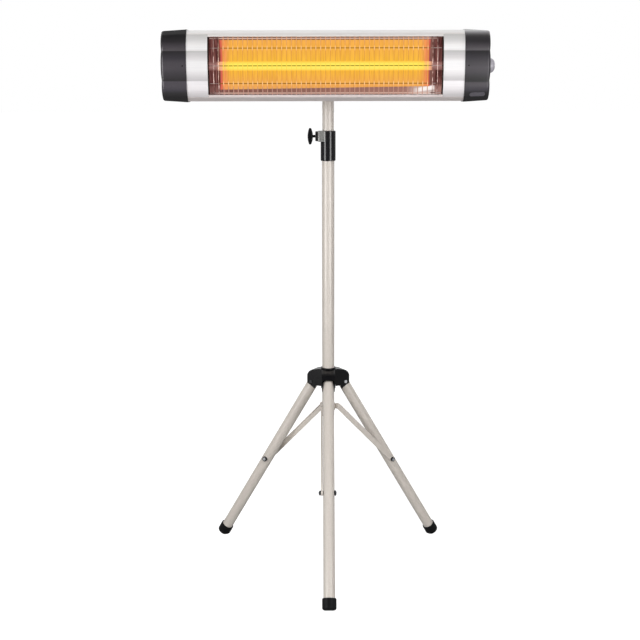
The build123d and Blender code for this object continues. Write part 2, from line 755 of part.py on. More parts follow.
# ======== heater head ======================================================================================
with BuildPart() as head_lug:
    with BuildSketch(Plane.XZ.offset(head_back - tilt_ear_sheet)):
        with Locations((0, head_z)):
            RectangleRounded(2 * lug_half_width, 2 * lug_half_height, radius=3)
            with GridLocations(2 * lug_screw_x, 1, 2, 1):
                Circle(lug_screw_d / 2 + running_gap, mode=Mode.SUBTRACT)
    extrude(amount=tilt_ear_sheet)
    for ear in (-1, 1):
        with BuildSketch(head_plane(ear * lug_ear_x)):
            with BuildLine():
                back = head_back - tilt_ear_sheet / 2
                Line((back, -lug_half_height), (back, lug_half_height))
                Line((back, lug_half_height), (tilt_depth, tilt_ear_round))
                ThreePointArc(
                    (tilt_depth, tilt_ear_round), (tilt_depth - tilt_ear_round, 0), (tilt_depth, -tilt_ear_round)
                )
                Line((tilt_depth, -tilt_ear_round), (back, -lug_half_height))
            make_face()
            with Locations((tilt_depth, 0)):
                Circle(tilt_bolt_d / 2 + running_gap, mode=Mode.SUBTRACT)
        extrude(amount=-ear * tilt_ear_sheet)

head_lug.part.label = "head_lug"
export_step(head_lug.part, "parts/head_lug.step")

with BuildPart() as lug_screws:
    for screw_x in (-lug_screw_x, lug_screw_x):
        with BuildSketch(Plane.XZ.offset(head_back - tilt_ear_sheet)):
            with Locations((screw_x, head_z)):
                Circle(lug_screw_d * 0.9)
        extrude(amount=-2.6)
        with BuildSketch(Plane.XZ.offset(head_back - tilt_ear_sheet)):
            with Locations((screw_x, head_z)):
                Circle(lug_screw_d / 2)
        extrude(amount=tilt_ear_sheet + housing_wall + 1.5)

lug_screws.part.label = "lug_screws"
export_step(lug_screws.part, "parts/lug_screws.step")

housing_length = 2 * (cap_length + housing_tongue)
with BuildPart() as housing_shell:
    with BuildSketch(head_plane(head_x + housing_length / 2)):
        add(head_outline())
        offset(amount=-housing_wall, kind=Kind.INTERSECTION, mode=Mode.SUBTRACT)
        with Locations((head_front, 0)):
            Rectangle(2 * (head_front - rail_front), 2 * rail_inner_z, mode=Mode.SUBTRACT)
    extrude(amount=housing_length)
    with BuildSketch(Plane.XZ.offset(head_back - 1)):
        with Locations((0, head_z)):
            with GridLocations(2 * lug_screw_x, 1, 2, 1):
                Circle(lug_screw_d / 2 + running_gap)
        for row in (-vent_row_z, vent_row_z):
            with Locations((head_x, head_z + row)):
                with GridLocations(vent_pitch, 1, vent_count, 1):
                    SlotOverall(vent_length, vent_width)
    extrude(amount=2 * housing_wall + 1, mode=Mode.SUBTRACT)

housing_shell.part.label = "housing_shell"
export_step(housing_shell.part, "parts/housing_shell.step")

# The blank plate lies in the lower facet of the right cap, along the cap's draught.
facet_lean = atan2(crease_front - rail_inner_front, rail_inner_z - crease_z)
facet_half = hypot(crease_front - rail_inner_front, rail_inner_z - crease_z) / 2
badge_off = (abs(badge_z) - (rail_inner_z + crease_z) / 2) / cos(facet_lean) / facet_half
badge_lean = facet_lean + 2 * outer_crown * badge_off / facet_half
draught = radians(cap_taper)
facet_normal = Vector(0, -cos(facet_lean), -sin(facet_lean))
badge_normal = Vector(0, -cos(badge_lean), -sin(badge_lean))
plate_normal = badge_normal * cos(draught) + Vector(1, 0, 0) * sin(draught)
plate_along = Vector(1, 0, 0) * cos(draught) - badge_normal * sin(draught)
badge_x = head_x + cap_length + badge_inset
chord_depth = crease_front - (abs(badge_z) - crease_z) * sin(facet_lean) / cos(facet_lean)
facet_point = Vector(badge_x, -chord_depth, head_z + badge_z)
skin = cap_step + outer_crown * (1 - badge_off**2) - badge_inset * sin(draught)
badge_plane = Plane(origin=facet_point + facet_normal * skin, x_dir=plate_along, z_dir=plate_normal)

for side, sign in (("left", -1), ("right", 1)):
    cap_inner_x = head_x + sign * cap_length
    outwards = -sign
    switch_side_cap = sign > 0

    with BuildPart() as end_cap:
        with BuildSketch(head_plane(cap_inner_x)):
            add(head_outline(cap_step))
        extrude(amount=outwards * cap_width, taper=cap_taper)
        end_face = end_cap.faces().sort_by(Axis.X)[0 if sign < 0 else -1]
        fillet(end_face.edges(), radius=cap_end_round)
        with BuildSketch(Plane(origin=(head_x, 0, head_z), x_dir=(sign, 0, 0), z_dir=(0, -sign, 0))):
            with BuildLine():
                end_top = Vector(cap_end - end_shoulder, head_half_height + cap_step)
                end_crease = Vector(cap_end - end_middle_crown, crease_z)
                corner = Vector(cap_length - 1, end_top.Y)
                Line(corner, end_top)
                crowned(end_top, end_crease, end_outer_crown)
                crowned(end_crease, mirrored(end_crease), end_middle_crown)
                crowned(mirrored(end_crease), mirrored(end_top), end_outer_crown)
                Line(mirrored(end_top), mirrored(corner))
                Line(mirrored(corner), corner)
            make_face()
        extrude(amount=sign * 2 * head_front, mode=Mode.INTERSECT)
        with BuildSketch(head_plane(cap_inner_x)):
            add(head_outline(seat_gap))
        extrude(amount=outwards * (housing_tongue + seat_gap), mode=Mode.SUBTRACT)
        with BuildSketch(head_plane(cap_inner_x)):
            add(head_outline(cap_step - cap_wall))
        extrude(amount=outwards * (cap_width - cap_end_wall), taper=cap_taper, mode=Mode.SUBTRACT)
        with BuildSketch(Plane.XZ.offset(crease_front - cap_wall)):
            with Locations((cap_inner_x + sign * cap_screw_inset, head_z)):
                Circle(cap_screw_d / 2 + running_gap)
        extrude(amount=4 * cap_wall, mode=Mode.SUBTRACT)
        if switch_side_cap:
            with BuildSketch(head_plane(head_x + cap_end + 1)):
                with Locations((switch_depth, 0)):
                    Circle(switch_shaft_d / 2 + running_gap)
            extrude(amount=2 * cap_end_wall, mode=Mode.SUBTRACT)
            with BuildSketch(Plane.XZ.offset(head_back - cap_wall - cap_step)):
                with Locations((cap_inner_x + cap_width / 2, head_z + inlet_z)):
                    Circle(inlet_d / 2 + running_gap)
            extrude(amount=4 * cap_wall, mode=Mode.SUBTRACT)
            with BuildSketch(badge_plane):
                SlotOverall(badge_length + 2 * seat_gap, badge_height + 2 * seat_gap)
            extrude(amount=2 * cap_wall, both=True, mode=Mode.SUBTRACT)

    end_cap.part.label = f"end_cap_{side}"
    export_step(end_cap.part, f"parts/end_cap_{side}.step")

    # The bezel closes the front between the window and the cap and turns inwards beside the window.
    bezel_edge_x = head_x + sign * window_length / 2
    bezel_length = cap_length + housing_tongue - window_length / 2
    with BuildPart() as bezel:
        with BuildSketch(head_plane(bezel_edge_x)):
            add(head_outline())
            offset(amount=-bezel_sheet, kind=Kind.INTERSECTION, mode=Mode.SUBTRACT)
            with Locations((head_front, 0)):
                Rectangle(2 * (head_front - rail_front), 2 * (rail_inner_z - seat_gap), mode=Mode.INTERSECT)
        extrude(amount=outwards * bezel_length)
        with BuildSketch(head_plane(bezel_edge_x)):
            add(head_outline())
            offset(amount=-bezel_return, kind=Kind.INTERSECTION, mode=Mode.SUBTRACT)
            with Locations((head_front, 0)):
                Rectangle(2 * (head_front - rail_front), 2 * window_half_height, mode=Mode.INTERSECT)
        extrude(amount=outwards * bezel_sheet)
        with BuildSketch(Plane.XZ.offset(rail_front)):
            with Locations((cap_inner_x + sign * cap_screw_inset, head_z)):
                Circle(cap_screw_d / 2 + running_gap)
        extrude(amount=head_front - rail_front, mode=Mode.SUBTRACT)

    bezel.part.label = f"bezel_{side}"
    export_step(bezel.part, f"parts/bezel_{side}.step")

    holder_x = head_x + sign * (lamp_length / 2 + lamp_cap_length / 2 - lamp_cap_seat - holder_width / 2)
    with BuildPart() as lamp_cap:
        with BuildSketch(head_plane(head_x + sign * (lamp_length / 2 - lamp_cap_seat))):
            with Locations((lamp_depth, 0)):
                Circle(lamp_cap_d / 2)
        extrude(amount=outwards * lamp_cap_length)
        with BuildSketch(head_plane(head_x + sign * (lamp_length / 2 - lamp_cap_seat))):
            with Locations((lamp_depth, 0)):
                Circle(lamp_d / 2 + running_gap)
        extrude(amount=outwards * (lamp_cap_seat + running_gap), mode=Mode.SUBTRACT)
        chamfer(lamp_cap.faces().sort_by(Axis.X)[0 if sign < 0 else -1].edges(), length=1.0)

    lamp_cap.part.label = f"lamp_cap_{side}"
    export_step(lamp_cap.part, f"parts/lamp_cap_{side}.step")

    holder_back = head_back + housing_wall
    holder_front = lamp_depth + lamp_cap_d / 2 + 2
    with BuildPart() as lamp_holder:
        with BuildSketch(head_plane(holder_x)):
            with Locations(((holder_back + holder_front) / 2, 0)):
                RectangleRounded(holder_front - holder_back, holder_height, radius=1.5)
            with Locations((lamp_depth, 0)):
                Circle(lamp_cap_d / 2 + seat_gap, mode=Mode.SUBTRACT)
        extrude(amount=outwards * holder_width)

    lamp_holder.part.label = f"lamp_holder_{side}"
    export_step(lamp_holder.part, f"parts/lamp_holder_{side}.step")

with BuildPart() as cap_screws:
    for sign in (-1, 1):
        with BuildSketch(Plane.XZ.offset(crease_front - 3 * housing_wall)):
            with Locations((head_x + sign * (cap_length + cap_screw_inset), head_z)):
                Circle(cap_screw_d / 2)
        extrude(amount=3 * housing_wall + middle_crown + cap_step - 0.8)

cap_screws.part.label = "cap_screws"
export_step(cap_screws.part, "parts/cap_screws.step")

with BuildPart() as badge_plate:
    with BuildSketch(badge_plane):
        SlotOverall(badge_length, badge_height)
    extrude(amount=badge_proud)
    with BuildSketch(badge_plane):
        SlotOverall(badge_length, badge_height)
    extrude(amount=-(cap_wall - badge_proud))

badge_plate.part.label = "badge_plate"
export_step(badge_plate.part, "parts/badge_plate.step")

# Thin trims frame the window above and below, each with a return that carries the reflector's lip.
trim_length = window_length - 2 * seat_gap
for side, sign in (("top", 1), ("bottom", -1)):
    with BuildPart() as window_trim:
        with BuildSketch(head_plane(head_x + trim_length / 2)):
            add(head_outline())
            offset(amount=-bezel_sheet, kind=Kind.INTERSECTION, mode=Mode.SUBTRACT)
            trim_middle = sign * (rail_inner_z - seat_gap + window_half_height) / 2
            trim_height = rail_inner_z - seat_gap - window_half_height
            with Locations((head_front, trim_middle)):
                Rectangle(2 * (head_front - rail_inner_front) + 8, trim_height, mode=Mode.INTERSECT)
        extrude(amount=trim_length)
        with BuildSketch(head_plane(head_x + trim_length / 2)):
            return_z = sign * (window_half_height + bezel_sheet / 2)
            with Locations((rail_inner_front + 2 - trim_return / 2, return_z)):
                Rectangle(trim_return, bezel_sheet)
        extrude(amount=trim_length)

    window_trim.part.label = f"window_trim_{side}"
    export_step(window_trim.part, f"parts/window_trim_{side}.step")

# ---- reflector, lamp and grille ---------------------------------------------------------------------------
lip_z = window_half_height - seat_gap
with BuildPart() as reflector:
    with BuildSketch(head_plane(head_x + reflector_length / 2)) as bowl_section:
        with BuildLine():
            lip_back = reflector_edge_depth - reflector_lip
            bowl_mid = (reflector_back_depth + 0.27 * (lip_back - reflector_back_depth), 0.74 * lip_z)
            Line((reflector_edge_depth, -lip_z), (reflector_edge_depth, lip_z))
            Line((reflector_edge_depth, lip_z), (lip_back, lip_z))
            ThreePointArc((lip_back, lip_z), bowl_mid, (reflector_back_depth, reflector_flat_z))
            Line((reflector_back_depth, reflector_flat_z), (reflector_back_depth, -reflector_flat_z))
            ThreePointArc(
                (reflector_back_depth, -reflector_flat_z), (bowl_mid[0], -bowl_mid[1]), (lip_back, -lip_z)
            )
            Line((lip_back, -lip_z), (reflector_edge_depth, -lip_z))
        make_face()
        bowl_face = bowl_section.sketch_local
        offset(amount=-reflector_sheet, kind=Kind.INTERSECTION, mode=Mode.SUBTRACT)
        with Locations((reflector_edge_depth, 0)):
            Rectangle(3 * reflector_sheet, 2 * (lip_z - reflector_sheet), mode=Mode.SUBTRACT)
    extrude(amount=reflector_length)
    for end_x in (head_x - reflector_length / 2, head_x + reflector_length / 2 - reflector_sheet):
        with BuildSketch(head_plane(end_x)):
            add(bowl_face)
            with Locations((lamp_depth, 0)):
                Circle(lamp_d / 2 + 3 * seat_gap, mode=Mode.SUBTRACT)
        extrude(amount=-reflector_sheet)

reflector.part.label = "reflector"
export_step(reflector.part, "parts/reflector.step")

with BuildPart() as quartz_tube:
    with BuildSketch(head_plane(head_x + lamp_length / 2)):
        with Locations((lamp_depth, 0)):
            Circle(lamp_d / 2)
            Circle(lamp_d / 2 - lamp_glass, mode=Mode.SUBTRACT)
    extrude(amount=lamp_length)

quartz_tube.part.label = "quartz_tube"
export_step(quartz_tube.part, "parts/quartz_tube.step")

with BuildPart() as heating_coil:
    with BuildSketch(head_plane(head_x + coil_length / 2)):
        with Locations((lamp_depth, 0)):
            Circle(coil_d / 2)
    extrude(amount=coil_length)
    chamfer(heating_coil.edges().filter_by(GeomType.CIRCLE), length=2.0)
    with BuildSketch(head_plane(head_x + lamp_length / 2)):
        with Locations((lamp_depth, 0)):
            Circle(pin_d / 2)
    extrude(amount=lamp_length)

heating_coil.part.label = "heating_coil"
export_step(heating_coil.part, "parts/heating_coil.step")

# The grille's upright wires follow the three facets; five straight wires are welded across behind them.
wire_end_z = window_half_height - seat_gap
facet_tilt = atan2(crease_front - rail_inner_front, rail_inner_z - crease_z)
wire_end_front = crease_front - (wire_end_z - crease_z) * sin(facet_tilt) / cos(facet_tilt)
crease_back = crease_front - wire_d
wire_end_back = wire_end_front - wire_d / cos(facet_tilt)
crease_back_z = crease_z - wire_d * (1 - cos(facet_tilt)) / sin(facet_tilt)
with BuildPart(mode=Mode.PRIVATE) as upright_wire:
    with BuildSketch(head_plane(head_x + wire_d / 2)):
        with BuildLine():
            Polyline(
                (wire_end_front, wire_end_z),
                (crease_front, crease_z),
                (crease_front, -crease_z),
                (wire_end_front, -wire_end_z),
                (wire_end_back, -wire_end_z),
                (crease_back, -crease_back_z),
                (crease_back, crease_back_z),
                (wire_end_back, wire_end_z),
                (wire_end_front, wire_end_z),
            )
        make_face()
    extrude(amount=wire_d)
    side_faces = upright_wire.faces().filter_by(Axis.X)
    long_edges = side_faces.edges().filter_by(lambda edge: edge.length > 4 * wire_d)
    chamfer(long_edges, length=wire_chamfer)

grille_span = (grille_count - 1) * grille_pitch
with BuildPart() as wire_grille:
    with Locations([(step * grille_pitch - grille_span / 2, 0, 0) for step in range(grille_count)]):
        add(upright_wire.part)
    for height in cross_wire_z:
        slope = facet_tilt if abs(height) > crease_z else 0.0
        lean = slope if height > 0 else -slope
        back_face = crease_back - max(0.0, abs(height) - crease_z) * sin(slope) / cos(slope)
        centre = back_face - (wire_d / 2 - wire_weld) / cos(slope)
        with BuildSketch(head_plane(head_x + cross_wire_length / 2)):
            with Locations((centre, height)):
                Rectangle(wire_d, wire_d, rotation=degrees(lean))
        extrude(amount=cross_wire_length)

wire_grille.part.label = "wire_grille"
export_step(wire_grille.part, "parts/wire_grille.step")

# ---- switch and electrical pieces -------------------------------------------------------------------------
cap_end_x = head_x + cap_end
with BuildPart() as switch_block:
    with BuildSketch(head_plane(cap_end_x - cap_end_wall - seat_gap)):
        with Locations((switch_depth, 0)):
            RectangleRounded(switch_side, switch_side, radius=2)
    extrude(amount=switch_length)
    with BuildSketch(head_plane(cap_end_x - cap_end_wall - seat_gap)):
        with Locations((switch_depth, 0)):
            Circle(switch_shaft_d / 2)
    extrude(amount=-(cap_end_wall + seat_gap + switch_knob_h / 2))

switch_block.part.label = "switch_block"
export_step(switch_block.part, "parts/switch_block.step")

knob_base_x = cap_end_x + free_gap
with BuildPart() as switch_knob:
    with BuildSketch(Plane(origin=(knob_base_x, -switch_depth, head_z), x_dir=(0, -1, 0), z_dir=(0, 0, 1))):
        with BuildLine():
            rim = switch_knob_d / 2
            skirt = switch_knob_h * 0.35
            Line((0, 0), (rim, 0))
            Line((rim, 0), (rim - 0.5, skirt))
            ThreePointArc((rim - 0.5, skirt), (0.7 * rim, 0.84 * switch_knob_h), (rim / 4, switch_knob_h))
            Line((rim / 4, switch_knob_h), (0, switch_knob_h))
            Line((0, switch_knob_h), (0, 0))
        make_face()
    revolve(axis=Axis((knob_base_x, -switch_depth, head_z), (1, 0, 0)))
    with BuildSketch(Plane(origin=(knob_base_x, -switch_depth, head_z), z_dir=(1, 0, 0))):
        Circle(switch_shaft_d / 2 + running_gap)
    extrude(amount=switch_knob_h / 2 + running_gap, mode=Mode.SUBTRACT)
    with BuildSketch(Plane(origin=(knob_base_x + switch_knob_h, -switch_depth, head_z), z_dir=(1, 0, 0))):
        with Locations((0, switch_knob_d / 4)):
            Rectangle(pointer_width, switch_knob_d / 2)
    extrude(amount=-pointer_depth, mode=Mode.SUBTRACT)

switch_knob.part.label = "switch_knob"
export_step(switch_knob.part, "parts/switch_knob.step")

back_wall = head_back - cap_step + cap_width / 2 * sin(draught)
terminal_x = cap_width / 2 - 2
terminal_back = head_back - cap_step + cap_wall + (terminal_x + terminal_length / 2) * sin(draught)
with BuildPart() as terminal_block:
    with BuildSketch(Plane.XZ.offset(terminal_back + seat_gap)):
        with Locations((head_x + cap_length + terminal_x, head_z + terminal_z)):
            RectangleRounded(terminal_length, terminal_height, radius=1.5)
    extrude(amount=terminal_depth)

terminal_block.part.label = "terminal_block"
export_step(terminal_block.part, "parts/terminal_block.step")

with BuildPart() as cable_inlet:
    with BuildSketch(Plane.XZ.offset(back_wall - inlet_reach)):
        with Locations((head_x + cap_length + cap_width / 2, head_z + inlet_z)):
            Circle(inlet_d / 2)
            Circle(inlet_bore_d / 2, mode=Mode.SUBTRACT)
    extrude(amount=inlet_reach + 2 * cap_wall)
    fillet(cable_inlet.faces().sort_by(Axis.Y)[-1].outer_wire().edges(), radius=2.0)

cable_inlet.part.label = "cable_inlet"
export_step(cable_inlet.part, "parts/cable_inlet.step")
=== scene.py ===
import json
from math import cos, pi, radians, sin

import bmesh
import bpy
from mathutils import Matrix, Vector

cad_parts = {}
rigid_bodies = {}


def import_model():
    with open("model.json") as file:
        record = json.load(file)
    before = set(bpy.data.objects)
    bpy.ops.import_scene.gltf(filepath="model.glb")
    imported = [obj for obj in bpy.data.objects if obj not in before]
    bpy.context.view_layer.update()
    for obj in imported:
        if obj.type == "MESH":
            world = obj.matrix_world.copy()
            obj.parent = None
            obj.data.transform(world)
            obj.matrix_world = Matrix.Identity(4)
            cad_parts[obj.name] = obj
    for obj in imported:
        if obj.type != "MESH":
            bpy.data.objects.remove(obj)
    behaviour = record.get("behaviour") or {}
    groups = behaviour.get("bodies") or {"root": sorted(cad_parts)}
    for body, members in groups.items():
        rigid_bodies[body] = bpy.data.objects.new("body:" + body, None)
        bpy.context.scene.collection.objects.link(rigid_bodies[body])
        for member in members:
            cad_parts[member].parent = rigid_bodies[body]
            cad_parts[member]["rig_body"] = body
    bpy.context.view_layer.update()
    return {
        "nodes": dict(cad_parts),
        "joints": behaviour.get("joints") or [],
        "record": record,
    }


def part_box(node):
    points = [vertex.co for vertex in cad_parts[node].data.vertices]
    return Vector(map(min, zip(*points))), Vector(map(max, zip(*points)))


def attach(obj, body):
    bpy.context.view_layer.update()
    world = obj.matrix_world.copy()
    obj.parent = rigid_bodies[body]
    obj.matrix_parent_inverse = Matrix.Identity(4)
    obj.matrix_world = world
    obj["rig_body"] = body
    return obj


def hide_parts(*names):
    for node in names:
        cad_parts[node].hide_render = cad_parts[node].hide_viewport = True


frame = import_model()
nodes = frame["nodes"]
joints = {joint["name"]: joint for joint in frame["joints"]}
slots = {part["node"]: part["material_slot"] for part in frame["record"]["subparts"]}
scene = bpy.context.scene
mm = 0.001

# Sizes of the heater that its finishes and its replaced pieces follow, in millimetres and radians.
lamp_centre_x = -6.0
lamp_z = 1145.0
lit_centre_x = -7.2
lit_half = 224.1
window_half_height = 59.8
window_half_length = 247.0
crease_z = 30.3
crease_front = 128.0
facet_slope = 11.0 / 34.5
bezel_sheet = 1.2
bowl_axis_y = -95.0
grille_pitch = 10.2
wire_count = 49
wire_radius = 0.9
wire_end_gap = 0.1
weld_depth = 0.1
cross_wire_half = 246.4
leg_lean = radians(31.98)
leg_run = 505.06
foot_end_gap = 4.0
foot_length = 25.0
foot_socket = 17.0
nut_from_tip = 1.2
nut_reach = 4.8


# ---- finishes ---------------------------------------------------------------------------------------------
def linear(code):
    """An sRGB hex colour as linear red, green, blue and alpha."""
    parts = [int(code[i:i + 2], 16) / 255 for i in (1, 3, 5)]
    return tuple(c / 12.92 if c <= 0.04045 else ((c + 0.055) / 1.055) ** 2.4 for c in parts) + (1.0,)


def feed(tree, node, inputs):
    """Sets a node's inputs, each from a value, a hex colour, a socket or a node's first output in use."""
    for name, value in inputs.items():
        if isinstance(value, bpy.types.Node):
            value = next(output for output in value.outputs if output.enabled)
        if isinstance(value, bpy.types.NodeSocket):
            tree.links.new(value, node.inputs[name])
        else:
            node.inputs[name].default_value = linear(value) if isinstance(value, str) else value


def add(tree, kind, inputs=None, stops=(), **settings):
    """Adds one shader node with its settings, its inputs and a colour ramp's (position, hex colour) stops."""
    made = tree.nodes.new(kind)
    for name, value in settings.items():
        setattr(made, name, value)
    feed(tree, made, inputs or {})
    if stops:
        elements = made.color_ramp.elements
        while len(elements) < len(stops):
            elements.new(0.5)
        for element, (position, code) in zip(elements, stops):
            element.position = position
            element.color = linear(code)
    return made


def start(name, **values):
    """A material whose shader takes its uniform values on its own sockets."""
    material = bpy.data.materials.new(name)
    material.use_nodes = True
    tree = material.node_tree
    shader = tree.nodes["Principled BSDF"]
    feed(tree, shader, {socket.replace("_", " "): value for socket, value in values.items()})
    return material, tree, shader


def grain(tree, shader, size, depth, strength, stretch=(1, 1, 1), detail=3.0):
    """Bumps of a real grain size and depth, in millimetres, and the noise that makes them."""
    place = add(tree, "ShaderNodeTexCoord").outputs["Object"]
    mapped = add(tree, "ShaderNodeMapping", {"Vector": place, "Scale": stretch})
    noise = add(tree, "ShaderNodeTexNoise", {"Vector": mapped, "Scale": 1 / (size * mm), "Detail": detail})
    bump = add(tree, "ShaderNodeBump", {"Height": noise, "Strength": strength, "Distance": depth * mm})
    feed(tree, shader, {"Normal": bump})
    return noise


def mask(tree, *edges, most=1.0):
    """A soft mask, full where every measure has passed its edge: an edge is (measure, none at, full at)."""
    for measure, none_at, full_at in edges:
        step = add(tree, "ShaderNodeMapRange", {"Value": measure, "From Min": none_at, "From Max": full_at},
                   interpolation_type="SMOOTHSTEP")
        most = add(tree, "ShaderNodeMath", {0: most, 1: step}, operation="MULTIPLY")
    return most


def layers(tree, colour, *coats):
    """A colour under coats that are laid on in turn, each a mask and a colour."""
    for cover, coat in coats:
        colour = add(tree, "ShaderNodeMix", {"Factor": cover, "A": colour, "B": coat}, data_type="RGBA")
    return colour


def grained(name, size, depth, strength, stops, **values):
    """A finish of one colour, slightly mottled, with bumps of a real grain size and depth in millimetres."""
    material, tree, shader = start(name, **values)
    skin = grain(tree, shader, size, depth, strength)
    feed(tree, shader, {"Base Color": add(tree, "ShaderNodeValToRGB", {"Fac": skin}, stops)})
    return material


def by_height(tree, stops):
    """A colour that follows the height on the head, up to 80 mm above and below the lamp's axis."""
    place = add(tree, "ShaderNodeSeparateXYZ", {"Vector": add(tree, "ShaderNodeTexCoord").outputs["Object"]})
    up = add(tree, "ShaderNodeMapRange", {"Value": place.outputs["Z"], "From Min": (lamp_z - 80) * mm,
                                          "From Max": (lamp_z + 80) * mm})
    return add(tree, "ShaderNodeValToRGB", {"Fac": up},
               [((height + 80) / 160, code) for height, code in stops])


def charcoal_abs(name, facets):
    # Moulded heat-resistant ABS with a light spark grain: a soft charcoal with a violet cast. The facets are
    # flat: colours by height paint light and shade on each, with painted shade darkest along the creases.
    material, tree, shader = start(name, Roughness=0.32, IOR=1.53, Specular_IOR_Level=0.4)
    pits = grain(tree, shader, 0.9, 0.05, 0.35)
    speckle = add(tree, "ShaderNodeValToRGB", {"Fac": pits}, [(0.3, "#e4e4e4"), (0.7, "#ffffff")])
    feed(tree, shader, {"Base Color": add(tree, "ShaderNodeMix", {
        "Factor": 1.0, "A": by_height(tree, facets), "B": speckle}, data_type="RGBA", blend_type="MULTIPLY")})
    return material


def brushed_aluminium(name, pale, deep, smooth, rough, metal=1.0, facets=None):
    # Aluminium sheet with fine lines along the head, from brushing or from the rolls, that stretch the
    # highlights. Where facets are given, the flat facets get colours by height that paint light and shade
    # on each, from white to painted grey shade along its creases.
    material, tree, shader = start(name, Metallic=metal)
    # The real lines are about 0.1 mm apart; they are drawn 0.7 mm apart so that they show.
    lines = grain(tree, shader, 0.7, 0.006, 0.15, stretch=(0.012, 1, 1), detail=2.0)
    colour = add(tree, "ShaderNodeValToRGB", {"Fac": lines}, [(0.3, deep), (0.7, pale)])
    if facets:
        colour = add(tree, "ShaderNodeMix", {"Factor": 1.0, "A": colour, "B": by_height(tree, facets)},
                     data_type="RGBA", blend_type="MULTIPLY")
    spread = add(tree, "ShaderNodeMapRange", {"Value": lines, "To Min": smooth, "To Max": rough})
    feed(tree, shader, {"Base Color": colour, "Roughness": spread})
    return material


def head_place(tree):
    """Where a point lies on the head: its place, how far along the lamp and how high in the window it is.

    Along is 0 at the middle of the lit part and 0.8 at its ends, and up is 0 to 1 over the window's height.
    """
    place = add(tree, "ShaderNodeSeparateXYZ", {"Vector": add(tree, "ShaderNodeTexCoord").outputs["Object"]})
    from_middle = add(tree, "ShaderNodeMath", {0: place.outputs["X"], 1: lit_centre_x * mm},
                      operation="SUBTRACT")
    apart = add(tree, "ShaderNodeMath", {0: from_middle}, operation="ABSOLUTE")
    along = add(tree, "ShaderNodeMapRange", {"Value": apart, "From Max": 1.25 * lit_half * mm})
    up = add(tree, "ShaderNodeMapRange", {"Value": place.outputs["Z"],
                                          "From Min": (lamp_z - window_half_height) * mm,
                                          "From Max": (lamp_z + window_half_height) * mm})
    return place, along, up


def rim_shade(tree, place, start_at, end_at):
    """A mask of the painted shade beside the window's left and right rims.

    It starts and is full at two distances from the window's middle, in millimetres.
    """
    from_middle = add(tree, "ShaderNodeMath", {0: place.outputs["X"], 1: lamp_centre_x * mm},
                      operation="SUBTRACT")
    apart = add(tree, "ShaderNodeMath", {0: from_middle}, operation="ABSOLUTE")
    return mask(tree, (apart, start_at * mm, end_at * mm))


def glowing_reflector():
    # Polished aluminium with the lamp's light painted on as a glow: an even painted orange where it is lit,
    # and a painted wine-brown reflection past the lit part.
    material, tree, shader = start("painted_glow_polished_aluminium", Metallic=1.0, Roughness=0.3,
                                   Emission_Strength=1.0)
    place, along, up = head_place(tree)
    across = place.outputs["X"]
    warm = add(tree, "ShaderNodeValToRGB", {"Fac": up}, [(0.0, "#eaa266"), (0.2, "#f4b055"), (0.4, "#fbbb40"),
                                                         (0.5, "#fec53a"), (0.62, "#fbbe42"),
                                                         (0.85, "#f8b44c"), (1.0, "#f5b058")])
    # Towards its ends the lamp is cooler, and the painted glow turns red.
    warm = layers(tree, warm, (mask(tree, (along, 0.71, 0.784)), "#f2945c"),
                  (mask(tree, (along, 0.768, 0.798)), "#d86252"))
    # The rolled sheet ripples a little, so the painted glow has upright streaks about 5 mm apart.
    drawn = add(tree, "ShaderNodeMapping", {"Vector": add(tree, "ShaderNodeTexCoord").outputs["Object"],
                                            "Scale": (1, 0.05, 0.08)})
    streak = add(tree, "ShaderNodeTexNoise", {"Vector": drawn, "Scale": 1 / (2.6 * mm), "Detail": 1.0})
    painted_ripple_streaks, painted_dim_reflection, sheet = (add(tree, "ShaderNodeValToRGB", {"Fac": streak}, stops) for stops in (
        [(0.3, "#d8c4ac"), (0.62, "#ffffff")],
        [(0.3, "#432422"), (0.5, "#5c3432"), (0.7, "#83544e")],
        [(0.3, "#2a1c1a"), (0.7, "#382624")]))
    lit = add(tree, "ShaderNodeMix", {"Factor": 0.35, "A": warm, "B": painted_ripple_streaks}, data_type="RGBA",
              blend_type="MULTIPLY")
    # The painted glow stops short of the rim, and its lower edge climbs towards the right, where the bowl
    # turns up. The painted glint in that corner climbs more steeply.
    rise, climb = (add(tree, "ShaderNodeMath", {0: across, 1: slope, 2: up}, operation="MULTIPLY_ADD")
                   for slope in (-0.12, -1.2))
    lit_part = mask(tree, (rise, 0.112, 0.124), (up, 0.962, 0.945), (along, 0.806, 0.793))
    right_end = (across, 160 * mm, 205 * mm), (across, 230 * mm, 222 * mm)
    beside = mask(tree, *right_end, most=0.6)
    lower_rim_painted_light = mask(tree, (across, -0.6, 0.5), (up, 0.2, 0.1))
    corner = mask(tree, *right_end, (up, 0.165, 0.13))
    glint = mask(tree, *right_end, (climb, -0.195, -0.17), (climb, -0.1, -0.13),
                 (across, 172 * mm, 198 * mm))
    # Past the lit part the bowl has painted light beside its right end, along its lower rim and in its lower
    # right corner, a painted glint there, and painted shade at its ends beside the rim.
    seen = layers(tree, painted_dim_reflection, (beside, "#8c635a"), (lower_rim_painted_light, "#a87f76"), (corner, "#cdbbb5"),
                  (glint, "#fbf3f0"), (lit_part, lit), (rim_shade(tree, place, 248.6, 249.8), "#120c0b"))
    feed(tree, shader, {"Emission Color": seen, "Base Color": sheet})
    return material


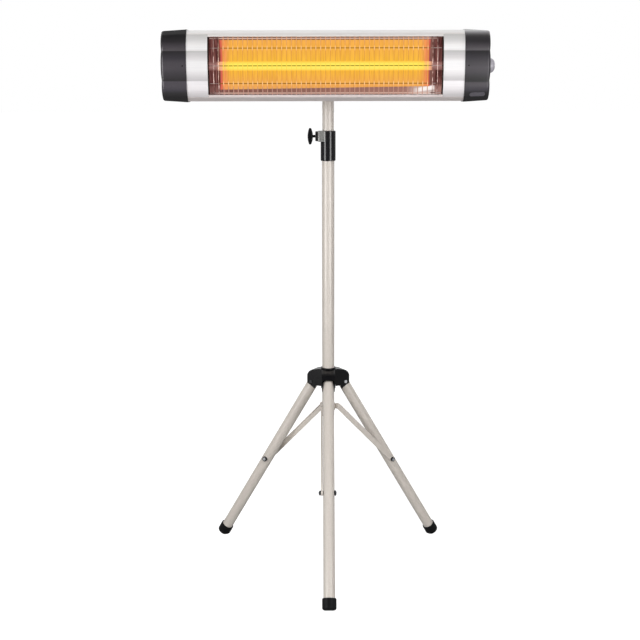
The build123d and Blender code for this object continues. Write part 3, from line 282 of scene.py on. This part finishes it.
def glowing_quartz():
    # Fused quartz tube with a painted glow: bright yellow where the coil glows behind it, and a dim painted
    # glow, smoky pink, past its ends, where the real tube is clear.
    material, tree, shader = start("fused_quartz", Roughness=0.12, IOR=1.46, Specular_IOR_Level=0.3,
                                   Emission_Strength=1.0)
    place, along, up = head_place(tree)
    bright = add(tree, "ShaderNodeValToRGB", {"Fac": up}, [(0.42, "#fbc34a"), (0.45, "#fee262"),
                                                           (0.5, "#ffee62"), (0.54, "#fee45c"),
                                                           (0.58, "#fbc34a")])
    painted_dim_glow = add(tree, "ShaderNodeValToRGB", {"Fac": up}, [(0.42, "#6e4844"), (0.5, "#a87c76"),
                                                          (0.58, "#6e4844")])
    fade = add(tree, "ShaderNodeValToRGB", {"Fac": along}, [(0.0, "#ffffff"), (0.7, "#ffffff"),
                                                            (0.8, "#ffe4d8")])
    body = add(tree, "ShaderNodeValToRGB", {"Fac": along}, [(0.78, "#4a3410"), (0.82, "#2c1e1c")])
    # Towards its ends the painted glow turns pale pink before it goes out.
    faded = add(tree, "ShaderNodeMix", {"Factor": 1.0, "A": bright, "B": fade}, data_type="RGBA",
                blend_type="MULTIPLY")
    lit = layers(tree, faded, (mask(tree, (along, 0.73, 0.797)), "#f0ac84"))
    glow = layers(tree, painted_dim_glow, (mask(tree, (along, 0.825, 0.79)), lit))
    feed(tree, shader, {"Emission Color": glow, "Base Color": body})
    return material


def glowing_coil():
    # Resistance wire at full heat: it gives its own light, yellow white.
    material, tree, shader = start("glowing_resistance_wire", Roughness=0.6, Emission_Strength=1.3)
    turns = grain(tree, shader, 2.0, 0.4, 0.6, stretch=(1, 0.1, 0.1))
    heat, metal = (add(tree, "ShaderNodeValToRGB", {"Fac": turns}, stops) for stops in (
        [(0.3, "#ffc93a"), (0.7, "#fff0a0")], [(0.3, "#5a3a20"), (0.7, "#a07030")]))
    feed(tree, shader, {"Emission Color": heat, "Base Color": metal})
    return material


def wire_with_painted_glow(name, heights, cool, shine):
    # Drawn steel wire, spot welded: a painted glow stands for the lamp's light on it in front of the coil,
    # it is pale past its ends, and painted shade makes it dark beside the window's rim.
    material, tree, shader = start(name, Metallic=0.85, Roughness=0.32, Emission_Strength=1.0)
    place, along, up = head_place(tree)
    grain(tree, shader, 1.2, 0.01, 0.2)
    lit = mask(tree, (along, 0.8, 0.782))
    shade = rim_shade(tree, place, 242.6, 243.8)
    glow = layers(tree, "#1c0e0d", (lit, add(tree, "ShaderNodeValToRGB", {"Fac": up}, heights)),
                  (shade, "#080404"))
    # Heat has tarnished it in patches about 12 mm long.
    patches = add(tree, "ShaderNodeTexNoise", {"Vector": add(tree, "ShaderNodeTexCoord").outputs["Object"],
                                               "Scale": 1 / (12 * mm), "Detail": 2.0})
    tarnish = add(tree, "ShaderNodeValToRGB", {"Fac": patches}, [(0.38, "#8a6c68"), (0.6, "#ffffff")])
    bare = add(tree, "ShaderNodeMix", {"Factor": 1.0, "A": layers(tree, cool, (lit, shine)), "B": tarnish},
               data_type="RGBA", blend_type="MULTIPLY")
    feed(tree, shader, {"Emission Color": glow, "Base Color": layers(tree, bare, (shade, "#2a1c1b"))})
    return material


# Colours by height: the wires' painted glow over the window's height, and painted light and shade on the
# head's facets in millimetres from the lamp's axis.
upright_glow = [(0.0, "#c09488"), (0.11, "#b4887c"), (0.15, "#e8a25c"), (0.197, "#ffd29c"), (0.25, "#e39a44"),
                (0.41, "#dc9c3c"), (0.44, "#fcd84c"), (0.56, "#fcd84c"), (0.59, "#dfa040"), (0.75, "#e39a44"),
                (0.803, "#ffcf98"), (0.86, "#e6a04e"), (0.97, "#d8a078"), (1.0, "#c89a88")]
cross_glow = [(0.0, "#8a5f4a"), (0.19, "#8f5c24"), (0.205, "#8f5c24"), (0.45, "#8a6a10"), (0.55, "#8a6a10"),
              (0.8, "#8f5c24"), (1.0, "#8a5f4a")]
rim_glow = [(0.0, "#d8bcae"), (0.06, "#d0b0a2"), (0.94, "#d4b8ae"), (1.0, "#dcc4bc")]
# Painted light along the top rail and painted shade along the bottom rail.
rail_painted_light_and_shade = [(-70, "#d4cdcc"), (-66.4, "#d8d2d1"), (-64.6, "#fff3f1"), (60, "#fffdfb"), (65, "#f4f1ee"),
               (69, "#ffffff")]
# Painted light and shade on the bezels' facets.
bezel_painted_light_and_shade = [(-68, "#dad8d9"), (-61, "#dedbdc"), (-50, "#f4f1f3"), (-42, "#fdfafc"), (-32, "#fffdff"),
                (-30.3, "#d2cfd1"), (-25, "#dcdadb"), (-17, "#f1eff0"), (-8, "#ffffff"), (8, "#ffffff"),
                (14, "#eeecec"), (22, "#dddbdb"), (30.1, "#cfcecd"), (31.5, "#f2f1f0"), (36, "#ffffff"),
                (43, "#fdfcfb"), (52, "#e8e7e6"), (62, "#d9d8d6"), (70, "#e4e3e1")]
# Painted light and shade on the left cap's facets.
left_cap_painted_light_and_shade = [(-66, "#131113"), (-56, "#222022"), (-50, "#36323a"), (-42, "#443f46"), (-32, "#474249"),
                   (-30.3, "#1c191b"), (-24, "#2b272b"), (-16, "#363237"), (-6, "#433e44"), (6, "#413c42"),
                   (16, "#302c33"), (29.8, "#201d20"), (31.2, "#484347"), (40, "#3c373c"), (50, "#221f22"),
                   (60, "#131113")]
# The right cap has a painted highlight along its top edge.
right_cap_painted_light_and_shade = [(-66, "#131113"), (-56, "#222022"), (-50, "#36323a"), (-42, "#3f3a40"),
                    (-35.6, "#3e393e"), (-33, "#171517"), (-29, "#171517"), (-26, "#1c191b"),
                    (-20, "#29262a"), (-14, "#363237"), (-5, "#403b41"), (4, "#3a363b"), (16, "#2e2a30"),
                    (29.8, "#1f1c1f"), (31.2, "#484347"), (40, "#3c373c"), (50, "#282528"), (57, "#2d2b2d"),
                    (60, "#383536"), (63, "#4d4b4c"), (66, "#6a6869"), (69, "#9a989a"), (73, "#d0d0d0")]

finishes = {
    # Polyester powder baked on steel: an even warm grey, half gloss, with a faint orange-peel skin.
    "tube_paint": grained("powder_coated_steel", 2.2, 0.05, 0.35, [(0.35, "#c7bfb6"), (0.65, "#cfc7bf")],
                          Roughness=0.33, IOR=1.5),
    # Glass-filled nylon from a spark-eroded mould: black, half matt, with a fine pitted grain.
    "hub_plastic": grained("moulded_black_nylon", 1.1, 0.06, 0.35, [(0.3, "#08080a"), (0.7, "#101012")],
                           Roughness=0.24, IOR=1.52, Specular_IOR_Level=0.15),
    # Black rubber of the foot caps and the cable inlet: dull, a little dusty, with a coarse skin.
    "foot_rubber": grained("black_rubber", 1.6, 0.08, 0.4, [(0.3, "#09090a"), (0.75, "#121214")],
                           Roughness=0.5, IOR=1.5, Specular_IOR_Level=0.12),
    # Black-passivated zinc on steel washers and nuts: dark, with a metallic sheen. Two rivet ends are
    # given it too, so that they are dark.
    "bolt_black": grained("black_passivated_zinc", 1.0, 0.01, 0.2, [(0.3, "#1e1e20"), (0.7, "#2f2f33")],
                          Metallic=0.6, Roughness=0.38),
    # Zinc-plated steel: bright, faintly blue, with a fine crystalline mottle.
    "bright_steel": grained("bright_zinc_steel", 1.4, 0.01, 0.2, [(0.3, "#b9bbbf"), (0.7, "#dcdddf")],
                            Metallic=1.0, Roughness=0.28),
    # Clear anodised after brushing: pale, with long soft highlights. Its colours by height paint light along
    # the top and shade along the bottom.
    "housing": brushed_aluminium("brushed_anodised_aluminium", "#f4f1f0", "#eceae9", 0.3, 0.36, 0.3,
                                 rail_painted_light_and_shade),
    "cap_plastic": charcoal_abs("moulded_charcoal_abs", left_cap_painted_light_and_shade),
    "reflector": glowing_reflector(),
    "grille": wire_with_painted_glow("drawn_steel_wire", upright_glow, "#c8aca6", "#3c2c1e"),
    "quartz": glowing_quartz(),
    "coil": glowing_coil(),
    # Pressed steatite: off-white, dry and very finely porous.
    "ceramic": grained("pressed_steatite", 0.8, 0.03, 0.4, [(0.3, "#cfc6b8"), (0.7, "#e2dacd")],
                       Roughness=0.7, IOR=1.56),
    # Moulded ABS of the dial: pale lilac grey, nearly matt.
    "dial": grained("moulded_lilac_abs", 0.9, 0.03, 0.25, [(0.3, "#a9a5ae"), (0.7, "#b8b4bc")],
                    Roughness=0.4, IOR=1.53),
    # The blank plate has a dark satin anodising, so it is dim beside the head's bright facets.
    "plate": brushed_aluminium("dark_satin_aluminium", "#77747a", "#66636a", 0.4, 0.5),
    # Polypropylene, smoother than the hub: long clean highlights down the collar's length.
    "bush_plastic": grained("smooth_black_polypropylene", 3.0, 0.02, 0.25,
                            [(0.3, "#09080b"), (0.7, "#100f12")], Roughness=0.2, IOR=1.49,
                            Specular_IOR_Level=0.45),
    # Die-cast zinc painted grey: satin, with a slightly uneven skin.
    "block_metal": grained("painted_zinc_casting", 1.8, 0.05, 0.35, [(0.3, "#767674"), (0.7, "#8f8f8c")],
                           Roughness=0.38, IOR=1.5, Metallic=0.35),
}
# The bezels are brushed and anodised as the rails are, with painted light and shade of their own on each
# facet.
bezel_finish = brushed_aluminium("brushed_facet_aluminium", "#f6f4f4", "#eeecec", 0.3, 0.36, 0.3,
                                 bezel_painted_light_and_shade)
right_cap_finish = charcoal_abs("moulded_charcoal_abs_right", right_cap_painted_light_and_shade)
# The bowl's back is as it left the rolling mill: grey and duller than the polished inside.
bowl_back_finish = brushed_aluminium("mill_finish_aluminium", "#8f8d8b", "#7d7b79", 0.4, 0.5)
cross_wire_finish = wire_with_painted_glow("cross_wire_painted_glow", cross_glow, "#c8b0aa", "#20160c")
edge_wire_finish = wire_with_painted_glow("rim_wire", rim_glow, "#e0ccc6", "#4a3a34")
# Dead matt black: painted shade inside the window's rim, so that the rim reads as a dark line, and the
# caps' screws' own black, so that the screws read as dark dots.
rim_shade_and_screw_black = grained("painted_rim_shade_and_black_screws", 1.0, 0.04, 0.3, [(0.3, "#15100f"), (0.7, "#201817")],
                     Roughness=0.8, IOR=1.5, Specular_IOR_Level=0.15)
for name, node in nodes.items():
    node.data.materials.clear()
    node.data.materials.append(rim_shade_and_screw_black if name == "cap_screws" else finishes[slots[name]])


# ---- pieces -----------------------------------------------------------------------------------------------
def settle(bm, name, body, material, replaced=(), sharp=40):
    """Turns a bmesh into a finished piece that rides a body and may stand for CAD nodes."""
    mesh = bpy.data.meshes.new(name)
    bm.to_mesh(mesh)
    bm.free()
    piece = bpy.data.objects.new(name, mesh)
    scene.collection.objects.link(piece)
    mesh.materials.append(material)
    mesh.shade_smooth()
    mesh.set_sharp_from_angle(angle=radians(sharp))
    if replaced:
        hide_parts(*replaced)
    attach(piece, body)
    return piece


def eased(node_name, width, segments=3, material=None, slot_name=None):
    """A CAD node's own shape with its hard edges eased, as moulding, casting or tumbling leaves them."""
    source = nodes[node_name]
    bm = bmesh.new()
    bm.from_mesh(source.data)
    bmesh.ops.remove_doubles(bm, verts=bm.verts, dist=0.004 * mm)
    bmesh.ops.dissolve_limit(bm, angle_limit=radians(0.6), verts=bm.verts, edges=bm.edges)
    slot_name = slot_name or slots[node_name]
    piece = settle(bm, node_name + "_eased", source["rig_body"], material or finishes[slot_name],
                   [node_name], sharp=50)
    easing = piece.modifiers.new("easing", "BEVEL")
    easing.width = width * mm
    easing.segments = segments
    easing.limit_method = "ANGLE"
    easing.angle_limit = radians(28)
    easing.harden_normals = True
    easing.use_clamp_overlap = True
    # Big faces set the shading, so that flat ones stay flat beside their rounded rims.
    piece.modifiers.new("flat_faces", "WEIGHTED_NORMAL").keep_sharp = True
    return piece


def crease(piece):
    """Keeps the two long creases between the head's facets crisp where the rest is shaded smooth.

    Their edges lie within 0.9 mm of the creases' heights, on the part of the head in front of y = -115 mm.
    """
    mesh = piece.data
    for edge in mesh.edges:
        corners = [mesh.vertices[i].co / mm for i in edge.vertices]
        if all(abs(abs(c.z - lamp_z) - crease_z) < 0.9 and c.y < -115 for c in corners):
            edge.use_edge_sharp = True


def paint(piece, finish, inside):
    """Gives a second finish to the faces for which inside(centre, normal) holds, centre in millimetres."""
    piece.data.materials.append(finish)
    for face in piece.data.polygons:
        if inside(face.center / mm, face.normal):
            face.material_index = 1


def facet_front(height):
    """How far the head's facets reach forward of the mast's axis, at a height from the lamp's axis."""
    return crease_front - max(0.0, abs(height) - crease_z) * facet_slope


def turned(name, body, outline, origin, direction, slot_name, replaced, ease=0.0):
    """A piece turned on a lathe: a closed outline of (radius, along) spun about an axis."""
    bm = bmesh.new()
    corners = [bm.verts.new((radius * mm, 0, along * mm)) for radius, along in outline]
    for first, second in zip(corners, corners[1:] + corners[:1]):
        bm.edges.new((first, second))
    bmesh.ops.spin(bm, geom=bm.verts[:] + bm.edges[:], cent=(0, 0, 0), axis=(0, 0, 1), angle=2 * pi,
                   steps=64, use_merge=True)
    bmesh.ops.remove_doubles(bm, verts=bm.verts, dist=0.002 * mm)
    bmesh.ops.recalc_face_normals(bm, faces=bm.faces)
    if ease:
        rims = [e for e in bm.edges if len(e.link_faces) == 2 and e.calc_face_angle(0) > radians(35)]
        bmesh.ops.bevel(bm, geom=rims, offset=ease * mm, segments=3, affect="EDGES", profile=0.5, material=-1)
    turn = Vector((0, 0, 1)).rotation_difference(Vector(direction)).to_matrix().to_4x4()
    bmesh.ops.transform(bm, matrix=Matrix.Translation(origin) @ turn, verts=bm.verts)
    return settle(bm, name, body, finishes[slot_name], replaced)


for name, node_name, outer, wall in (("pole_tube", "lower_tube", 14.0, 0.8),
                                     ("mast_tube", "upper_tube", 13.0, 1.0)):
    low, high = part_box(node_name)
    length = (high.z - low.z) / mm
    turned(name, nodes[node_name]["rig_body"],
           [(outer, 0), (outer, length), (outer - wall, length), (outer - wall, 0)],
           (0, 0, low.z), (0, 0, 1), slots[node_name], [node_name], ease=0.25)

# Leg tubes with closed, rounded tops, from a little above their pivots down into their foot caps.
tube_end = leg_run - foot_end_gap - foot_length + foot_socket
leg_outline = [(12.7, tube_end), (12.7, -6.0), (12.2, -8.2), (11.0, -9.8), (9.2, -10.8), (7.7, -11.0),
               (0, -11.0), (0, -9.8), (7.4, -9.8), (11.5, -6.0), (11.5, tube_end)]
leg_angles = {"front": 0.0, "left": radians(-120), "right": radians(120)}
nut_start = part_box("leg_bolt_front")[0].x / mm + nut_from_tip
nut_end = nut_start + nut_reach
for side, angle in leg_angles.items():
    outwards = Vector((sin(angle), -cos(angle), 0))
    down = outwards * sin(leg_lean) - Vector((0, 0, 1)) * cos(leg_lean)
    turned("leg_tube_" + side + "_drawn", side + "_leg", leg_outline,
           Vector(joints[side + "_leg_fold"]["pos_m"]), down, "tube_paint", ["leg_tube_" + side])
    eased("foot_cap_" + side, 0.8)
    eased("leg_washers_" + side, 0.3)
    # The nuts are black and the bolts bright.
    to_front = Matrix.Rotation(-angle, 3, "Z")
    paint(eased("leg_bolt_" + side, 0.3), finishes["bolt_black"],
          lambda centre, normal: nut_start < (to_front @ centre).x < nut_end)
    eased("brace_" + side, 0.35)
    eased("brace_rivet_" + side, 0.3, material=finishes["tube_paint"])

eased("tripod_hub", 1.1)
# Two rivet ends are black, both left of x = -12 mm: the front leg's left end and the left leg's forward one.
left_to_front = Matrix.Rotation(-leg_angles["left"], 3, "Z")
paint(eased("leg_pivot_rivets", 0.5), finishes["bolt_black"],
      lambda centre, normal: centre.x < -12 and (left_to_front @ centre).x > 0)
eased("brace_runner", 0.6, slot_name="tube_paint")
eased("runner_stop_screws", 0.4)
eased("lower_tube_plug", 0.5)
eased("clamp_collar", 0.4, material=finishes["bush_plastic"])
eased("clamp_block", 0.8, material=finishes["block_metal"])
eased("clamp_nut", 0.4, material=finishes["bush_plastic"])
for node_name, width in (("clamp_knob", 0.8), ("mast_cap", 0.3), ("mast_bracket", 0.5),
                         ("mast_bracket_bolts", 0.4), ("tilt_bolt", 0.4), ("tilt_knob", 0.6),
                         ("head_lug", 0.4), ("lug_screws", 0.4), ("housing_shell", 0.35)):
    eased(node_name, width)
for side, sign, cap_finish in (("left", -1, None), ("right", 1, right_cap_finish)):
    crease(eased("end_cap_" + side, 0.5, material=cap_finish))
    bezel = eased("bezel_" + side, 0.3, material=bezel_finish)
    crease(bezel)
    # Painted shade: the bezel's return into the window is black, a sheet's thickness behind its front.
    edge_x = lamp_centre_x + sign * window_half_length
    paint(bezel, rim_shade_and_screw_black, lambda centre, normal: abs(centre.x - edge_x) < 0.3
          and centre.y > bezel_sheet - facet_front(centre.z - lamp_z))
eased("window_trim_top", 0.3)
# Painted shade: the lower trim is black on the faces that look up into the window.
paint(eased("window_trim_bottom", 0.3), rim_shade_and_screw_black,
      lambda centre, normal: centre.z - lamp_z > -60.5 and normal.z > 0.5)
# The bowl's painted glow is on its inner faces only: those that look away from its axis are plain sheet.
paint(eased("reflector", 0.1, segments=1), bowl_back_finish,
      lambda centre, normal: normal.y * (centre.y - bowl_axis_y) + normal.z * (centre.z - lamp_z) > 0)
eased("switch_knob", 0.3)
eased("cable_inlet", 0.4)
eased("badge_plate", 0.25)


# ---- grille: round wires in place of the CAD grille -------------------------------------------------------
def wire(bm, points):
    """A round wire through a few points in millimetres, with its ends closed."""
    points = [Vector(point) * mm for point in points]
    rings = []
    for index, point in enumerate(points):
        before = (point - points[index - 1]).normalized() if index else (points[1] - point).normalized()
        after = (points[index + 1] - point).normalized() if index < len(points) - 1 else before
        along = (before + after).normalized()
        ring = bmesh.ops.create_circle(bm, radius=wire_radius * mm, segments=10)["verts"]
        turn = Vector((0, 0, 1)).rotation_difference(along).to_matrix().to_4x4()
        bmesh.ops.transform(bm, matrix=Matrix.Translation(point) @ turn, verts=ring)
        rings.append(ring)
    for first, second in zip(rings, rings[1:]):
        edges = [e for e in bm.edges if all(v in first for v in e.verts) or all(v in second for v in e.verts)]
        bmesh.ops.bridge_loops(bm, edges=edges)
    bmesh.ops.holes_fill(bm, edges=bm.edges)
    bmesh.ops.recalc_face_normals(bm, faces=bm.faces)


one = bmesh.new()
top_z = window_half_height - wire_end_gap
wire(one, [(0, wire_radius - facet_front(height), lamp_z + height)
           for height in (top_z, crease_z, -crease_z, -top_z)])
one_mesh = bpy.data.meshes.new("one_wire")
one.to_mesh(one_mesh)
one.free()
uprights = bmesh.new()
for step in range(wire_count):
    known = len(uprights.verts)
    uprights.from_mesh(one_mesh)
    uprights.verts.ensure_lookup_table()
    shift = (lamp_centre_x + (step - (wire_count - 1) / 2) * grille_pitch) * mm
    bmesh.ops.translate(uprights, vec=(shift, 0, 0), verts=uprights.verts[known:])
bpy.data.meshes.remove(one_mesh)
settle(uprights, "upright_wires", "head", finishes["grille"], ["wire_grille"])

# Straight wires welded across the backs of the uprights.
for name, heights, finish in (("cross_wires", (-36.3, 0.0, 36.3), cross_wire_finish),
                              ("rim_wires", (-56.0, 56.0), edge_wire_finish)):
    crossing = bmesh.new()
    for height in heights:
        y = 3 * wire_radius - weld_depth - facet_front(height)
        wire(crossing, [(lamp_centre_x + sign * cross_wire_half, y, lamp_z + height) for sign in (-1, 1)])
    settle(crossing, name, "head", finish)


# ---- studio -----------------------------------------------------------------------------------------------
def background_share(tree, mirrored_share):
    """1 for rays from the camera or through glass, and the given share for reflected rays."""
    path = add(tree, "ShaderNodeLightPath")
    seen = add(tree, "ShaderNodeMath", {0: path.outputs["Is Camera Ray"],
                                        1: path.outputs["Is Transmission Ray"]}, operation="MAXIMUM")
    mirrored = add(tree, "ShaderNodeMath", {0: path.outputs["Is Glossy Ray"], 1: mirrored_share},
                   operation="MULTIPLY")
    return add(tree, "ShaderNodeMath", {0: seen, 1: mirrored}, operation="MAXIMUM")


floor_mesh = bpy.data.meshes.new("studio_floor")
sheet = bmesh.new()
bmesh.ops.create_grid(sheet, x_segments=1, y_segments=1, size=40.0)
sheet.to_mesh(floor_mesh)
sheet.free()
floor = bpy.data.objects.new("studio_floor", floor_mesh)
scene.collection.objects.link(floor)
floor_paint = bpy.data.materials.new("matt_white_floor")
floor_paint.use_nodes = True
tree = floor_paint.node_tree
tree.nodes.clear()
matt = add(tree, "ShaderNodeBsdfDiffuse", {"Color": (0.35, 0.35, 0.35, 1)})
white = add(tree, "ShaderNodeEmission", {"Color": (1, 1, 1, 1), "Strength": 0.95})
both = add(tree, "ShaderNodeAddShader", {0: matt, 1: white})
# In reflections the floor is brightest along a line 1.7 m in front of the heater.
place = add(tree, "ShaderNodeSeparateXYZ", {"Vector": add(tree, "ShaderNodeTexCoord").outputs["Object"]})
from_bright = add(tree, "ShaderNodeMath", {0: place.outputs["Y"], 1: 1.7}, operation="ADD")
apart = add(tree, "ShaderNodeMath", {0: from_bright}, operation="ABSOLUTE")
share = add(tree, "ShaderNodeMapRange", {"Value": apart, "From Min": 0.6, "From Max": 1.7, "To Min": 0.3,
                                         "To Max": 0.1})
choice = add(tree, "ShaderNodeMixShader", {0: background_share(tree, share), 1: matt, 2: both})
add(tree, "ShaderNodeOutputMaterial", {"Surface": choice})
floor_mesh.materials.append(floor_paint)

world = bpy.data.worlds.new("white_studio")
scene.world = world
world.use_nodes = True
tree = world.node_tree
tree.nodes.clear()
room = add(tree, "ShaderNodeBackground", {"Color": (0.98, 0.99, 1.0, 1), "Strength": 0.28})
shown = add(tree, "ShaderNodeBackground", {"Color": (1, 1, 1, 1), "Strength": 1.0})
# In reflections the room is white behind the heater and dim in front of it.
away = add(tree, "ShaderNodeSeparateXYZ", {"Vector": add(tree, "ShaderNodeTexCoord").outputs["Generated"]})
share = add(tree, "ShaderNodeMapRange", {"Value": away.outputs["Y"], "From Min": -0.2, "From Max": 0.5})
choice = add(tree, "ShaderNodeMixShader", {0: background_share(tree, share), 1: room, 2: shown})
add(tree, "ShaderNodeOutputWorld", {"Surface": choice})


def softbox(name, azimuth, distance, height, width, tall, brightness, aim=0.9, gleam=False):
    """A rectangular softbox facing the heater, placed in degrees and metres.

    It lights the heater and isn't mirrored in it, or, as a gleam, is only mirrored in it.
    """
    lamp = bpy.data.lights.new(name, "AREA")
    lamp.shape = "RECTANGLE"
    lamp.size, lamp.size_y = width, tall
    lamp.energy = brightness * pi * width * tall
    box = bpy.data.objects.new(name, lamp)
    scene.collection.objects.link(box)
    box.visible_diffuse = not gleam
    box.visible_glossy = gleam
    turn = radians(azimuth)
    box.location = (distance * sin(turn), -distance * cos(turn), height)
    box.rotation_euler = (Vector(box.location) - Vector((0, 0, aim))).to_track_quat("Z", "Y").to_euler()


softbox("left_strip", -45, 2.6, 0.9, 0.5, 2.4, 9.5)
softbox("right_strip", 38, 2.6, 0.9, 0.4, 2.4, 9.0)
softbox("left_gleam", -50, 2.6, 0.7, 0.8, 1.9, 10.0, gleam=True)
softbox("right_gleam", 38, 2.6, 0.7, 0.8, 1.9, 9.0, gleam=True)
softbox("front_fill", 0, 3.6, 1.25, 3.2, 1.9, 2.0)
softbox("top_softbox", 0, 1.6, 3.2, 2.2, 1.2, 1.9, aim=1.1)
softbox("back_left", -140, 2.6, 1.4, 1.0, 2.0, 2.4)
softbox("back_right", 140, 2.6, 1.4, 1.0, 2.0, 2.4)

# The photograph's camera: its focal length in pixels of a 640 pixel frame, and how it looks down and rolls.
focal_pixels = 1176.1
frame_pixels = 640
look_down = 0.201
roll = 0.002
camera = bpy.data.cameras.new("camera")
camera.sensor_width = 36
camera.lens = camera.sensor_width * focal_pixels / frame_pixels
viewer = bpy.data.objects.new("camera", camera)
viewer.location = (-17.8 * mm, -2645.8 * mm, 1114.9 * mm)
viewer.rotation_euler = (pi / 2 - look_down, roll, 0)
scene.collection.objects.link(viewer)
scene.camera = viewer
scene.view_settings.view_transform = "Standard"
